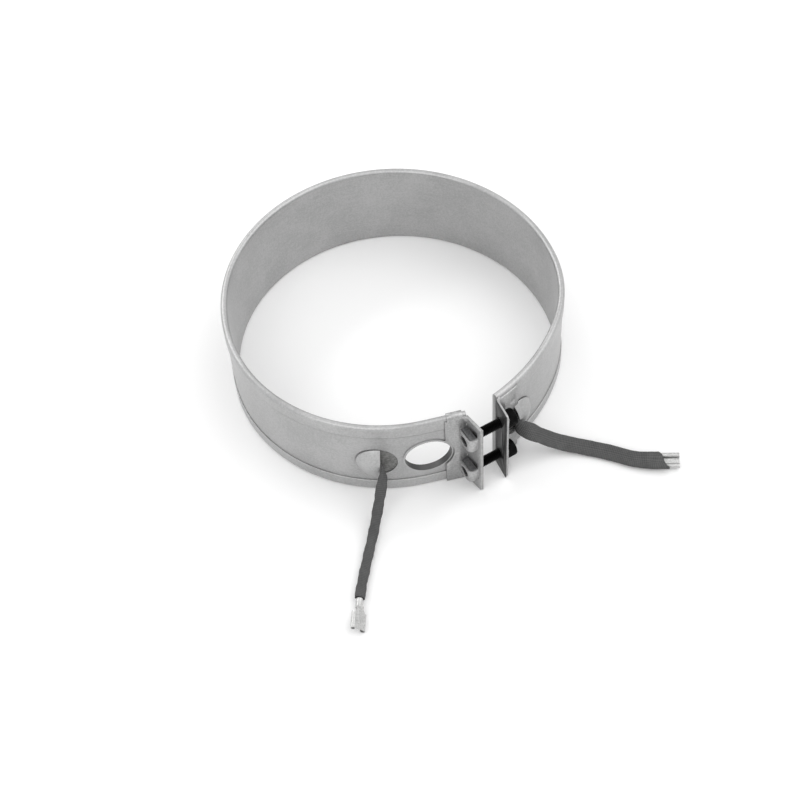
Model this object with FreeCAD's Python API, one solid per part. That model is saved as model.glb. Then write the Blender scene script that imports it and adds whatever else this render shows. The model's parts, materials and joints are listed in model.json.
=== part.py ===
import FreeCAD, Part
import math
import os

"""Band heater for a moulding-machine barrel: a flat mica heater rolled into a ring, with a folded
sheet-steel sheath, a screw clamp across its gap and two sleeved leads.

Frame: +Z along the barrel, origin on the bore axis at half the band's height, clamp gap at -Y.
It is drawn with z = 0 at the band's lower edge and moved down by half the height at the end.
Azimuth is measured from -Y towards +X, in degrees.
The wall is laid out by depth: 0 at its middle, positive outwards.
"""

Vector = FreeCAD.Vector
UP = Vector(0, 0, 1)

# Band
BORE_RADIUS = 79.45
WALL = 3.3
BAND_HEIGHT = 50.0
SHEET = 0.55
MICA = 0.4
HEM = 7.5
RIGHT_END_X = 8.8
LEFT_END_X = -7.7

# Plan of the wall's middle line: a true circle behind, then arcs (radius, angle) to each end
BACK_ARC = (130.5, 242.0)
RIGHT_ARCS = ((85.9, 55.8), (66.5, 32.9))
LEFT_ARCS = ((92.5, 14.4), (78.1, 86.8))
RIGHT_END_RADIUS = 97.0
LEFT_END_RADIUS = 1500.0

# Element
RIBBON_WIDTH = 3.0
RIBBON = 0.15
TURNS = 40
WOUND = (12.0, 327.0)

# Through hole and blisters
HOLE_AZIMUTH = 341.6
HOLE_Z = 23.9
HOLE_RADIUS = 11.2
COLLAR = 0.4
COLLAR_LIP = 0.5
BLISTER_Z = 22.6
BLISTER_RADIUS = 9.9
BLISTER_RISE = 4.6
MOUTH_SHIFT = 2.1
LEFT_BLISTER_AZIMUTH = 324.5
RIGHT_BLISTER_AZIMUTH = 15.3

# Clamp
PLATE = 0.9
BACKING = 0.5
LEAN = 7.0
SCREW_REACH = 88.4
SCREW_PITCH = 25.0
GAP_AT_SCREW = 14.1
FLANGE_REACH = 95.2
BEND = 1.9
PLATE_Z = (0.4, 49.6)
TAB_WRAP = 125.0
TAB_SHORT = 1.2
LEFT_FOOT_TO = 347.4
RIGHT_FOOT_TO = 15.2
SCREW_RADIUS = 2.5
HEAD_RADIUS = 4.25
HEAD_LENGTH = 5.0
KEY_ACROSS = 4.0
SEAT_X = 9.9
SCREW_END_X = -12.4
NUT_SIDE = 8.0
NUT_THICKNESS = 3.5
NUT_BORE = 2.55
HOLE_CLEARANCE = 2.85
STRAP_X = -12.65
STRAP_HALF = 4.25
WINDOW_ABOVE = 8.0

# Leads
SLEEVE_RADIUS = 2.15
SLEEVE_BORE = 1.7
WIRE_RADIUS = 1.1
LEAD_Z = 22.2
LEAD_DEPTH = 2.75
TAG_START = -4.4
TAG_LENGTH = 5.2
TAG_BARREL = 1.35
CRIMP = 4.5
TAB_WIDTH = 7.6
TAB_HEIGHT = 2.4
TAB_SHEET = 0.45
BARREL_RADIUS = 1.65
BODY_START = 7.5
BODY_LENGTH = 8.5

HALF_WALL = WALL / 2
MEAN_RADIUS = BORE_RADIUS + HALF_WALL
SCREW_ZS = {"lower": BAND_HEIGHT / 2 - SCREW_PITCH / 2, "upper": BAND_HEIGHT / 2 + SCREW_PITCH / 2}


def heading(azimuth):
    """Level unit vector at an azimuth."""
    angle = math.radians(azimuth)
    return Vector(math.sin(angle), -math.cos(angle), 0)


def joined(solids):
    """One solid from pieces that touch or overlap."""
    shape = solids[0] if len(solids) == 1 else solids[0].multiFuse(solids[1:])
    shape = shape.removeSplitter()
    return shape.Solids[0] if len(shape.Solids) == 1 else shape


# ---------------------------------------------------------------- plan of the wall

def plan_arcs():
    """Arcs (centre, radius, first azimuth, last azimuth) of the middle line, right end to left."""
    arcs = [(Vector(0, 0, 0), MEAN_RADIUS, *BACK_ARC)]
    for radius, angle in RIGHT_ARCS:
        centre, last_radius, first, last = arcs[0]
        joint = centre + heading(first) * last_radius
        arcs.insert(0, (joint - heading(first) * radius, radius, first - angle, first))
    for radius, angle in LEFT_ARCS:
        centre, last_radius, first, last = arcs[-1]
        joint = centre + heading(last) * last_radius
        arcs.append((joint - heading(last) * radius, radius, last, last + angle))
    centre, radius, first, last = arcs[0]
    start = centre + heading(first) * radius - heading(first) * RIGHT_END_RADIUS
    end = math.degrees(math.asin((RIGHT_END_X - start.x) / RIGHT_END_RADIUS))
    arcs.insert(0, (start, RIGHT_END_RADIUS, end, first))
    centre, radius, first, last = arcs[-1]
    start = centre + heading(last) * radius - heading(last) * LEFT_END_RADIUS
    end = math.degrees(math.asin((LEFT_END_X - start.x) / LEFT_END_RADIUS)) + 360
    arcs.append((start, LEFT_END_RADIUS, last, end))
    return arcs


ARCS = plan_arcs()


def facing(azimuth):
    """Azimuth that the wall faces at a place given by its own azimuth about the bore axis."""
    ray = heading(azimuth)
    for centre, radius, first, last in ARCS:
        middle = ray.dot(centre)
        place = ray * (middle + math.sqrt(middle ** 2 - centre.dot(centre) + radius ** 2))
        spoke = place - centre
        faced = math.degrees(math.atan2(spoke.x, -spoke.y)) % 360
        if first - 1e-6 <= faced <= last + 1e-6:
            return faced
    raise ValueError(f"azimuth {azimuth} lies in the gap")


def ends(inset):
    """Azimuths of the wall's two ends, each drawn back by a length along the wall."""
    right, left = ARCS[0], ARCS[-1]
    back = math.degrees(inset / right[1])
    length = math.radians(left[3] - left[2]) * left[1]
    if inset <= length:
        return right[2] + back, left[3] - math.degrees(inset / left[1])
    before = ARCS[-2]
    return right[2] + back, before[3] - math.degrees((inset - length) / before[1])


def swept(section, first, last):
    """A section, given as a function of a (depth, height) placer, carried along the wall."""
    pieces = []
    for centre, radius, start, end in ARCS:
        low, high = max(first, start), min(last, end)
        if high - low > 1e-5:
            out = heading(low)
            face = section(lambda depth, z: centre + out * (radius + depth) + UP * z)
            pieces.append(face.revolve(centre, UP, high - low))
    return joined(pieces)


def rectangle(depths, heights):
    """Section of a plain strip of the wall."""
    def section(place):
        corners = [place(d, z) for d, z in (
            (depths[0], heights[0]), (depths[1], heights[0]), (depths[1], heights[1]), (depths[0], heights[1]))]
        return Part.Face(Part.makePolygon(corners + corners[:1]))
    return section


def layer(depths, heights, inset):
    return swept(rectangle(depths, heights), *ends(inset))


class Station:
    """Local frame on the wall: along points towards the gap, out points away from the bore."""

    def __init__(self, azimuth):
        faced = facing(azimuth)
        centre, radius = next(arc[:2] for arc in ARCS if arc[2] - 1e-6 <= faced <= arc[3] + 1e-6)
        self.azimuth = azimuth
        self.out = heading(faced)
        side = -1 if azimuth < 180 else 1
        self.along = heading(faced + 90) * side
        self.origin = centre + self.out * radius

    def at(self, along, depth, z):
        return self.origin + self.along * along + self.out * depth + UP * z


# ---------------------------------------------------------------- sheath and cover

def stadium(place):
    """Full section of the wall, rounded at its upper and lower edge."""
    low, high = HALF_WALL, BAND_HEIGHT - HALF_WALL
    edges = [
        Part.Arc(place(HALF_WALL, low), place(0, 0), place(-HALF_WALL, low)).toShape(),
        Part.LineSegment(place(-HALF_WALL, low), place(-HALF_WALL, high)).toShape(),
        Part.Arc(place(-HALF_WALL, high), place(0, BAND_HEIGHT), place(HALF_WALL, high)).toShape(),
        Part.LineSegment(place(HALF_WALL, high), place(HALF_WALL, low)).toShape(),
    ]
    return Part.Face(Part.Wire(edges))


def folded(place):
    """Section of the sheath: inner wall, two round folds, and the lips over the cover."""
    outer, inner = HALF_WALL, HALF_WALL - SHEET
    low, high = HALF_WALL, BAND_HEIGHT - HALF_WALL
    lip_low, lip_high = HEM, BAND_HEIGHT - HEM

    def line(a, b):
        return Part.LineSegment(place(*a), place(*b)).toShape()

    def fold(a, b, c):
        return Part.Arc(place(*a), place(*b), place(*c)).toShape()

    edges = [
        line((outer, lip_low), (outer, low)),
        fold((outer, low), (0, 0), (-outer, low)),
        line((-outer, low), (-outer, high)),
        fold((-outer, high), (0, BAND_HEIGHT), (outer, high)),
        line((outer, high), (outer, lip_high)),
        line((outer, lip_high), (inner, lip_high)),
        line((inner, lip_high), (inner, high)),
        fold((inner, high), (0, BAND_HEIGHT - SHEET), (-inner, high)),
        line((-inner, high), (-inner, low)),
        fold((-inner, low), (0, SHEET), (inner, low)),
        line((inner, low), (inner, lip_low)),
        line((inner, lip_low), (outer, lip_low)),
    ]
    return Part.Face(Part.Wire(edges))


def drill(station, radius, z, low=-6.0, high=12.0):
    """Cylinder across the wall."""
    return Part.makeCylinder(radius, high - low, station.at(0, low, z), station.out)


def inner_sheath(hole):
    first, last = ends(0.0)
    inner_first, inner_last = ends(SHEET)
    wrap = swept(folded, first, last)
    right_flap = swept(stadium, first, inner_first)
    left_flap = swept(stadium, inner_last, last)
    return joined([wrap, right_flap, left_flap]).cut(drill(hole, HOLE_RADIUS + COLLAR + 0.05, HOLE_Z))


def blister_ball(station, shrink):
    """Ball whose cap makes a blister; it stands BLISTER_RISE above the cover."""
    rise = BLISTER_RISE + 0.5
    radius = (BLISTER_RADIUS ** 2 + rise ** 2) / (2 * rise)
    top = HALF_WALL - SHEET + BLISTER_RISE
    return Part.makeSphere(radius - shrink, station.at(0, top - radius, BLISTER_Z))


def side_of_mouth(station, reach=30.0):
    """Space on the far side of a blister's mouth from the gap."""
    corner = station.at(MOUTH_SHIFT - reach, -reach, BLISTER_Z - reach)
    return block(corner, station.along * reach, station.out * (reach * 2), UP * (reach * 2))


def outer_cover(hole, blisters):
    depths = (HALF_WALL - 2 * SHEET, HALF_WALL - SHEET)
    cover = layer(depths, (1.9, BAND_HEIGHT - 1.9), SHEET + 0.1)
    cover = cover.cut(drill(hole, HOLE_RADIUS + COLLAR + 0.05, HOLE_Z))
    for station in blisters:
        beyond = layer((-HALF_WALL * 4, depths[0]), (5, BAND_HEIGHT - 5), 2.0)
        hood = blister_ball(station, 0).cut(blister_ball(station, SHEET))
        hood = hood.common(side_of_mouth(station))
        hood = hood.cut(beyond)
        hood = max(hood.Solids, key=lambda solid: solid.CenterOfMass.sub(Vector(0, 0, BLISTER_Z)).Length)
        cover = cover.cut(blister_ball(station, SHEET))
        cover = joined([cover, hood])
    return cover


def hole_collar(hole):
    """Eyelet that lines the through hole, with a small lip outside."""
    tube = drill(hole, HOLE_RADIUS + COLLAR, HOLE_Z).cut(drill(hole, HOLE_RADIUS, HOLE_Z))
    lip = drill(hole, HOLE_RADIUS + COLLAR + COLLAR_LIP, HOLE_Z, 0).cut(drill(hole, HOLE_RADIUS, HOLE_Z))
    first, last = facing(HOLE_AZIMUTH - 9), facing(HOLE_AZIMUTH + 9)
    through = swept(rectangle((-HALF_WALL, HALF_WALL), (5, 45)), first, last)
    face = swept(rectangle((HALF_WALL - SHEET, HALF_WALL), (5, 45)), first, last)
    return joined([tube.common(through), lip.common(face)])


# ---------------------------------------------------------------- heating element

CORE_LOW = -HALF_WALL + SHEET + MICA + 0.1 + RIBBON
CORE_HIGH = HALF_WALL - 2 * SHEET - MICA - RIBBON
CORE_Z = (3.0, BAND_HEIGHT - 3.0)


def inner_mica(hole):
    sheet = layer((-HALF_WALL + SHEET, CORE_LOW - RIBBON), (2.2, BAND_HEIGHT - 2.2), 2.0)
    return sheet.cut(drill(hole, HOLE_RADIUS + 1.2, HOLE_Z))


def core_mica(hole):
    return layer((CORE_LOW, CORE_HIGH), CORE_Z, 3.0).cut(drill(hole, HOLE_RADIUS + 1.2, HOLE_Z))


def outer_mica(hole, blisters):
    sheet = layer((CORE_HIGH + RIBBON, HALF_WALL - 2 * SHEET), (2.2, BAND_HEIGHT - 2.2), 2.0)
    sheet = sheet.cut(drill(hole, HOLE_RADIUS + 1.2, HOLE_Z))
    for station in blisters:
        sheet = sheet.cut(tag_slot(station))
    return sheet


def tag_slot(station):
    """Opening in the outer mica through which a tag reaches the ribbon."""
    corner = station.at(TAG_START - 0.4, -2.0, LEAD_Z - 4.0)
    return block(corner, station.along * (TAG_LENGTH + 0.8), station.out * 8, UP * 8)


def resistance_ribbon():
    """Ribbon wound round the core: inner leg, over the top, outer leg, under to the next turn."""
    pitch = (WOUND[1] - WOUND[0]) / TURNS
    width = math.degrees(RIBBON_WIDTH / MEAN_RADIUS)
    low, high = CORE_Z
    across = (CORE_LOW - RIBBON, CORE_HIGH + RIBBON)
    pieces = []
    for turn in range(TURNS):
        start = WOUND[0] + pitch * turn
        half = start + pitch / 2
        inner = rectangle((CORE_LOW - RIBBON, CORE_LOW), (low - RIBBON, high + RIBBON))
        outer = rectangle((CORE_HIGH, CORE_HIGH + RIBBON), (low - RIBBON, high + RIBBON))
        strips = [(inner, start, start + width), (outer, half, half + width),
                  (rectangle(across, (high, high + RIBBON)), start, half + width)]
        if turn < TURNS - 1:
            strips.append((rectangle(across, (low - RIBBON, low)), half, start + pitch + width))
        pieces += [swept(section, facing(a), facing(b)) for section, a, b in strips]
    return joined(pieces)


def element_tag(station):
    """Tag on the ribbon's end with a crimp barrel for the lead's wire."""
    base = CORE_HIGH + RIBBON
    along = station.along * TAG_LENGTH
    rise = LEAD_DEPTH - WIRE_RADIUS - 0.1 - base
    foot = block(station.at(TAG_START, base, LEAD_Z - 3.5), along, station.out * 0.5, UP * 7.0)
    web = block(station.at(TAG_START, base, LEAD_Z - 0.8), along, station.out * rise, UP * 1.6)
    barrel = Part.makeCylinder(TAG_BARREL, TAG_LENGTH, station.at(TAG_START, LEAD_DEPTH, LEAD_Z), station.along)
    bore = Part.makeCylinder(WIRE_RADIUS, TAG_LENGTH, station.at(TAG_START, LEAD_DEPTH, LEAD_Z), station.along)
    under = swept(rectangle((-4.0, base), (10, 40)), facing(station.azimuth - 8), facing(station.azimuth + 8))
    return joined([foot, web, barrel]).cut(bore).cut(under)


def block(corner, a, b, c):
    """Solid with three edges from one corner."""
    base = Part.Face(Part.makePolygon([corner, corner + a, corner + a + b, corner + b, corner]))
    return base.extrude(c)


# ---------------------------------------------------------------- clamp

def rounded_prism(points, radii, heights):
    """Upright prism on a plan outline whose corners are rounded, each by its own radius."""
    corners = [Vector(x, -reach, heights[0]) for x, reach in points]
    count = len(corners)
    starts, edges = [], []
    for i, corner in enumerate(corners):
        before = (corners[i - 1] - corner).normalize()
        after = (corners[(i + 1) % count] - corner).normalize()
        half = before.getAngle(after) / 2
        reach = radii[i] / math.tan(half) if radii[i] else 0
        bisector = (before + after).normalize()
        middle = corner + bisector * (radii[i] / math.sin(half) - radii[i])
        starts.append((corner + before * reach, middle, corner + after * reach, radii[i]))
    for i, (enter, middle, leave, radius) in enumerate(starts):
        if radius:
            edges.append(Part.Arc(enter, middle, leave).toShape())
        edges.append(Part.LineSegment(leave, starts[(i + 1) % count][0]).toShape())
    return Part.Face(Part.Wire(edges)).extrude(UP * (heights[1] - heights[0]))


class Ear:
    """Plan of one clamp bracket; side is 1 to the right of the gap and -1 to its left."""

    def __init__(self, side):
        self.side = side
        lean = math.radians(LEAN)
        self.up_flange = Vector(-side * math.sin(lean), -math.cos(lean), 0)
        self.off_gap = Vector(side * math.cos(lean), -math.sin(lean), 0)
        self.plate_face = Vector(side * GAP_AT_SCREW / 2, -SCREW_REACH, 0)
        self.on_face = self.plate_face + self.off_gap * BACKING
        self.arc = ARCS[0] if side > 0 else ARCS[-1]
        centre, radius = self.arc[0], self.arc[1]
        wide = BEND + PLATE
        reach = radius + HALF_WALL + wide
        start = self.on_face + self.off_gap * wide - centre
        along = start.dot(self.up_flange)
        root = math.sqrt(along ** 2 - start.dot(start) + reach ** 2)
        self.bend_centre = centre + start + self.up_flange * (root - along)
        spoke = self.bend_centre - centre
        self.foot_facing = math.degrees(math.atan2(spoke.x, -spoke.y)) % 360
        self.foot_azimuth = math.degrees(math.atan2(self.bend_centre.x, -self.bend_centre.y)) % 360

    def bend(self, heights):
        """Quarter-round bend from foot to flange."""
        centre = self.bend_centre + UP * heights[0]
        inward = (self.arc[0] - self.bend_centre).normalize()
        start, end = inward, self.off_gap * -1
        angle = math.degrees(start.getAngle(end)) * (1 if start.cross(end).z > 0 else -1)
        corners = [centre + start * BEND, centre + start * (BEND + PLATE),
                   centre + start * (BEND + PLATE) + UP * (heights[1] - heights[0]),
                   centre + start * BEND + UP * (heights[1] - heights[0])]
        face = Part.Face(Part.makePolygon(corners + corners[:1]))
        return face.revolve(centre, UP, angle)

    def flange(self, heights):
        start = self.bend_centre - self.off_gap * (BEND + PLATE) + UP * heights[0]
        length = (FLANGE_REACH + start.y) / math.cos(math.radians(LEAN))
        plate = block(start, self.off_gap * PLATE, self.up_flange * length, UP * (heights[1] - heights[0]))
        tip = [edge for edge in plate.Edges
               if edge.Length < PLATE + 0.1 and abs(edge.CenterOfMass.sub(start).dot(self.up_flange) - length) < 0.1]
        return plate.makeFillet(1.5, tip)

    def backing(self):
        """Flat plate on the gap's side of the flange; the nuts and seats pull against it."""
        start = self.plate_face - self.up_flange * 4.6 + UP * PLATE_Z[0]
        length = (FLANGE_REACH + start.y) / math.cos(math.radians(LEAN))
        plate = block(start, self.off_gap * BACKING, self.up_flange * length, UP * (PLATE_Z[1] - PLATE_Z[0]))
        for z in SCREW_ZS.values():
            plate = plate.cut(screw_hole(z, -20, 20))
        return plate

    def foot(self, to_azimuth, notch):
        """Foot on the band's outer face."""
        first, last = sorted((self.foot_facing, facing(to_azimuth)))
        heights = (PLATE_Z[0], BAND_HEIGHT - HALF_WALL)
        return swept(rectangle((HALF_WALL, HALF_WALL + PLATE), heights), first, last).cut(notch)

    def tab(self, to_azimuth):
        """Upper end of the foot, turned over the band's round edge."""
        first, last = self.foot_facing, facing(to_azimuth)
        last += math.degrees(TAB_SHORT / self.arc[1]) * (1 if last < first else -1)
        return swept(wrapped_edge, *sorted((first, last)))

    def welds(self, azimuth):
        """Projection welds that carry the foot down to the cover."""
        station = Station(azimuth)
        return [drill(station, 1.8, z, HALF_WALL - SHEET, HALF_WALL + 0.4) for z in (11.0, 39.0)]

    def weld_dimples(self, azimuth):
        station = Station(azimuth)
        return [Part.makeSphere(3.2, station.at(0, HALF_WALL + PLATE + 2.75, z)) for z in (11.0, 39.0)]


def wrapped_edge(place):
    """Section of a sheet that follows the band's upper fold from outside to past its top."""
    inner, outer = HALF_WALL, HALF_WALL + PLATE
    centre = BAND_HEIGHT - HALF_WALL

    def on(radius, share):
        angle = math.radians(TAB_WRAP * share)
        return place(radius * math.cos(angle), centre + radius * math.sin(angle))

    edges = [
        Part.Arc(on(outer, 0), on(outer, 0.5), on(outer, 1)).toShape(),
        Part.LineSegment(on(outer, 1), on(inner, 1)).toShape(),
        Part.Arc(on(inner, 1), on(inner, 0.5), on(inner, 0)).toShape(),
        Part.LineSegment(on(inner, 0), on(outer, 0)).toShape(),
    ]
    return Part.Face(Part.Wire(edges))


def band_body():
    """The whole wall as one block, used to trim what sits on it."""
    return layer((-HALF_WALL * 6, HALF_WALL), (-1, BAND_HEIGHT), 0.0)


def left_bracket(hole):
    """Bracket with two pressed straps; each strap and the flange hold a square nut."""
    ear = Ear(-1)
    weld = (ear.foot_azimuth + LEFT_FOOT_TO) / 2
    pieces = [ear.foot(LEFT_FOOT_TO, drill(hole, HOLE_RADIUS + COLLAR + COLLAR_LIP + 0.3, HOLE_Z)),
              ear.tab(LEFT_FOOT_TO), ear.bend(PLATE_Z), ear.flange(PLATE_Z)]
    body = joined(pieces)
    half = NUT_SIDE / 2 + 0.15
    reaches = (SCREW_REACH - half, SCREW_REACH + half)
    for z in SCREW_ZS.values():
        window = ((-5, reaches[0]), (-5, reaches[1]), (STRAP_X - 2, reaches[1]), (STRAP_X - 2, reaches[0]))
        body = body.cut(rounded_prism(window, (0, 0, 0, 0), (z - STRAP_HALF, z + WINDOW_ABOVE)))
    for z in SCREW_ZS.values():
        heights = (z - STRAP_HALF, z + STRAP_HALF)
        outline = ((-6.5, reaches[0] - PLATE), (-6.5, reaches[1] + PLATE), (STRAP_X, reaches[1] + PLATE),
                   (STRAP_X, reaches[0] - PLATE))
        inside = ((-4.0, reaches[0]), (-4.0, reaches[1]), (STRAP_X + PLATE, reaches[1]),
                  (STRAP_X + PLATE, reaches[0]))
        strap = rounded_prism(outline, (0, 0, 3.0, 2.2), heights)
        strap = strap.cut(rounded_prism(inside, (0, 0, 0.8, 0.5), heights))
        strap = strap.cut(band_body()).cut(beyond_gap_face(ear, heights))
        strap = max(strap.Solids, key=lambda solid: solid.Volume)
        strap = strap.cut(screw_hole(z, STRAP_X - 1, STRAP_X + 3))
        body = joined([body, strap])
    body = joined([body] + ear.welds(weld))
    for dimple in ear.weld_dimples(weld):
        body = body.cut(dimple)
    return body


def beyond_gap_face(ear, heights):
    """Space on the gap's side of a flange."""
    start = ear.on_face - ear.up_flange * 20 + UP * (heights[0] - 1)
    return block(start, ear.off_gap * -12, ear.up_flange * 40, UP * (heights[1] - heights[0] + 2))


def screw_hole(z, x_from, x_to):
    return Part.makeCylinder(HOLE_CLEARANCE, x_to - x_from, Vector(x_from, -SCREW_REACH, z), Vector(1, 0, 0))


def right_bracket(blister):
    """Bracket with two shallow pressed seats, square to the screws, for their heads."""
    ear = Ear(1)
    notch = drill(blister, BLISTER_RADIUS + 0.8, BLISTER_Z)
    body = joined([ear.foot(RIGHT_FOOT_TO, notch), ear.bend(PLATE_Z), ear.flange(PLATE_Z)])
    for z in SCREW_ZS.values():
        heights = (z - 5.4, z + 5.4)
        hollow = (z - 4.2, z + 4.2)
        outer = ((5.0, SCREW_REACH - 4.6), (SEAT_X, SCREW_REACH - 4.6), (SEAT_X, SCREW_REACH + 5.2),
                 (5.0, SCREW_REACH + 5.2))
        inner = ((4.0, SCREW_REACH - 3.4), (SEAT_X - PLATE, SCREW_REACH - 3.4), (SEAT_X - PLATE, SCREW_REACH + 4.0),
                 (4.0, SCREW_REACH + 4.0))
        seat = rounded_prism(outer, (0, 1.5, 2.0, 0), heights)
        seat = seat.cut(band_body()).cut(beyond_gap_face(ear, heights))
        body = joined([body, seat]).cut(rounded_prism(inner, (0, 0.6, 0.8, 0), hollow))
        body = body.cut(screw_hole(z, 0, SEAT_X + 1))
    weld = RIGHT_FOOT_TO - 2.6
    body = joined([body] + ear.welds(weld))
    for dimple in ear.weld_dimples(weld):
        body = body.cut(dimple)
    return body


def square_nut(z):
    """Square nut held in a strap; its thread is a plain bore."""
    low_x = STRAP_X + PLATE + 0.12
    side = NUT_SIDE
    nut = Part.makeBox(NUT_THICKNESS, side, side, Vector(low_x, -SCREW_REACH - side / 2, z - side / 2))
    nut = nut.makeChamfer(0.45, [edge for edge in nut.Edges if edge.CenterOfMass.x < low_x + 0.1])
    return nut.cut(Part.makeCylinder(NUT_BORE, 20, Vector(-20, -SCREW_REACH, z), Vector(1, 0, 0)))


def cap_screw(z):
    """Socket head cap screw; its thread is left plain."""
    axis = Vector(1, 0, 0)
    base = Vector(SEAT_X, -SCREW_REACH, z)
    head = Part.makeCylinder(HEAD_RADIUS, HEAD_LENGTH, base, axis)
    rim = [edge for edge in head.Edges if edge.Length > 20 and edge.CenterOfMass.x > SEAT_X + 4]
    head = head.makeFillet(0.5, rim)
    shank = Part.makeCylinder(SCREW_RADIUS, SEAT_X - SCREW_END_X, Vector(SCREW_END_X, -SCREW_REACH, z), axis)
    tip = [edge for edge in shank.Edges if edge.Length > 10 and edge.CenterOfMass.x < SCREW_END_X + 1]
    shank = shank.makeChamfer(0.5, tip)
    corner = KEY_ACROSS / math.sqrt(3)
    points = [Vector(SEAT_X + HEAD_LENGTH - 2.6, -SCREW_REACH + corner * math.cos(math.radians(60 * k)),
                     z + corner * math.sin(math.radians(60 * k))) for k in range(7)]
    socket = Part.Face(Part.makePolygon(points)).extrude(axis * 4)
    return joined([head, shank]).cut(socket)


# ---------------------------------------------------------------- leads

def lead_points(station, beyond):
    """Route of a lead: out of the blister's mouth, then the given points to its terminal."""
    start = [station.at(TAG_START, LEAD_DEPTH, LEAD_Z), station.at(4.0, LEAD_DEPTH, LEAD_Z),
             station.at(5.4, LEAD_DEPTH + 5.2, LEAD_Z - 0.6)]
    return start + [Vector(*point) for point in beyond]


LEFT_ROUTE = (
    (-52.5, -78.5, 16.0),
    (-56.9, -82.2, 8.2),
    (-63.6, -89.3, 3.3),
    (-74.5, -101.3, 2.4),
    (-85.0, -113.8, 3.2),
    (-89.5, -120.6, 3.4),
)
RIGHT_ROUTE = (
    (23.9, -89.4, 19.0),
    (30.4, -91.3, 11.4),
    (37.8, -94.9, 5.4),
    (46.8, -101.4, 2.5),
    (56.8, -111.8, 2.4),
    (64.6, -122.4, 2.6),
    (71.4, -126.9, 3.1),
)


def route_edges(name, points):
    """Straight runs joined by the largest tangent arcs that the runs allow."""
    edges, here = [], points[0]
    for i in range(1, len(points) - 1):
        before, after = points[i - 1] - points[i], points[i + 1] - points[i]
        turn = math.pi - before.getAngle(after)
        reach = 0.45 * min(before.Length, after.Length)
        radius = reach / math.tan(turn / 2)
        before.normalize()
        after.normalize()
        enter, leave = points[i] + before * reach, points[i] + after * reach
        bisector = (before + after).normalize()
        middle = points[i] + bisector * (radius / math.cos(turn / 2) - radius)
        edges.append(Part.LineSegment(here, enter).toShape())
        edges.append(Part.Arc(enter, middle, leave).toShape())
        here = leave
        print(f"{name} point {i}: turn {math.degrees(turn):.0f} deg, radius {radius:.1f} mm")
    edges.append(Part.LineSegment(here, points[-1]).toShape())
    return edges


def tube(edges, outer, inner=0.0):
    """Round tube along lines and arcs, built run by run."""
    pieces = []
    for edge in edges:
        start, direction = edge.valueAt(edge.FirstParameter), edge.tangentAt(edge.FirstParameter)
        face = Part.Face(Part.Wire(Part.makeCircle(outer, start, direction)))
        if inner:
            face = face.cut(Part.Face(Part.Wire(Part.makeCircle(inner, start, direction)))).Faces[0]
        if isinstance(edge.Curve, Part.Circle):
            centre, axis = edge.Curve.Center, edge.Curve.Axis
            angle = math.degrees(edge.LastParameter - edge.FirstParameter)
            if axis.cross(start - centre).dot(direction) < 0:
                axis = axis * -1
            pieces.append(face.revolve(centre, axis, angle))
        else:
            pieces.append(face.extrude(direction * edge.Length))
    return joined(pieces)


def lead(name, station, beyond, bare_end):
    """Wire and sleeve of one lead, and the place and heading of the wire's far end."""
    points = lead_points(station, beyond)
    edges = route_edges(name, points)
    wire = tube(edges, WIRE_RADIUS)
    mouth = station.at(MOUTH_SHIFT - 0.9, LEAD_DEPTH, LEAD_Z)
    end = points[-1]
    last = edges[-1].tangentAt(edges[-1].FirstParameter)
    covered = list(edges)
    covered[0] = Part.LineSegment(mouth, edges[0].valueAt(edges[0].LastParameter)).toShape()
    covered[-1] = Part.LineSegment(edges[-1].valueAt(edges[-1].FirstParameter), end - last * bare_end).toShape()
    sleeve = tube(covered, SLEEVE_RADIUS, SLEEVE_BORE)
    length = sum(edge.Length for edge in covered)
    area = math.pi * (SLEEVE_RADIUS ** 2 - SLEEVE_BORE ** 2)
    print(f"{name} sleeve {length:.1f} mm long, volume {sleeve.Volume:.1f}, section x length {area * length:.1f}")
    return wire, sleeve, end, last


def push_on_terminal(end, forward, roll):
    """Push-on receptacle: crimp barrel, neck, and a flat body with rolled edges."""
    level = forward.cross(UP).normalize()
    above = level.cross(forward).normalize()
    angle = math.radians(roll)
    wide = level * math.cos(angle) + above * math.sin(angle)
    high = above * math.cos(angle) - level * math.sin(angle)
    back = end - forward * CRIMP

    def at(a, b, c):
        return back + forward * a + wide * b + high * (c - BARREL_RADIUS)

    barrel = Part.makeCylinder(BARREL_RADIUS, CRIMP, back, forward)
    barrel = barrel.cut(Part.makeCylinder(WIRE_RADIUS, CRIMP, back, forward))
    seam = block(at(0, -0.15, BARREL_RADIUS + 0.9), forward * CRIMP, wide * 0.3, high * 1.2)
    barrel = barrel.cut(seam)
    outline = ((CRIMP - 0.5, 1.3), (CRIMP + 0.8, 1.3), (BODY_START - 0.4, 2.4), (BODY_START + 0.1, 2.4))
    neck = [at(a, b, 0) for a, b in outline] + [at(a, -b, 0) for a, b in reversed(outline)]
    neck = Part.Face(Part.makePolygon(neck + neck[:1])).extrude(high * TAB_SHEET)
    rib = BODY_START - CRIMP + 0.6
    ribs = [block(at(CRIMP - 0.5, side * 1.3 - TAB_SHEET / 2, 0), forward * rib, wide * TAB_SHEET, high * 1.1)
            for side in (-1, 1)]
    curl = TAB_HEIGHT / 2
    span = TAB_WIDTH / 2 - curl
    plate = block(at(BODY_START, -span, 0), forward * BODY_LENGTH, wide * (2 * span), high * TAB_SHEET)
    body = [plate]
    for side in (-1, 1):
        spot = at(BODY_START, side * span, curl)
        ring = Part.makeCylinder(curl, BODY_LENGTH, spot, forward)
        ring = ring.cut(Part.makeCylinder(curl - TAB_SHEET, BODY_LENGTH, spot, forward))
        inside = block(at(BODY_START, side * span, TAB_SHEET), forward * BODY_LENGTH, wide * (-side * 4),
                       high * (curl - 0.1))
        body.append(ring.cut(inside))
    return joined([barrel, neck] + ribs + body)


# ---------------------------------------------------------------- the whole heater

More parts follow.
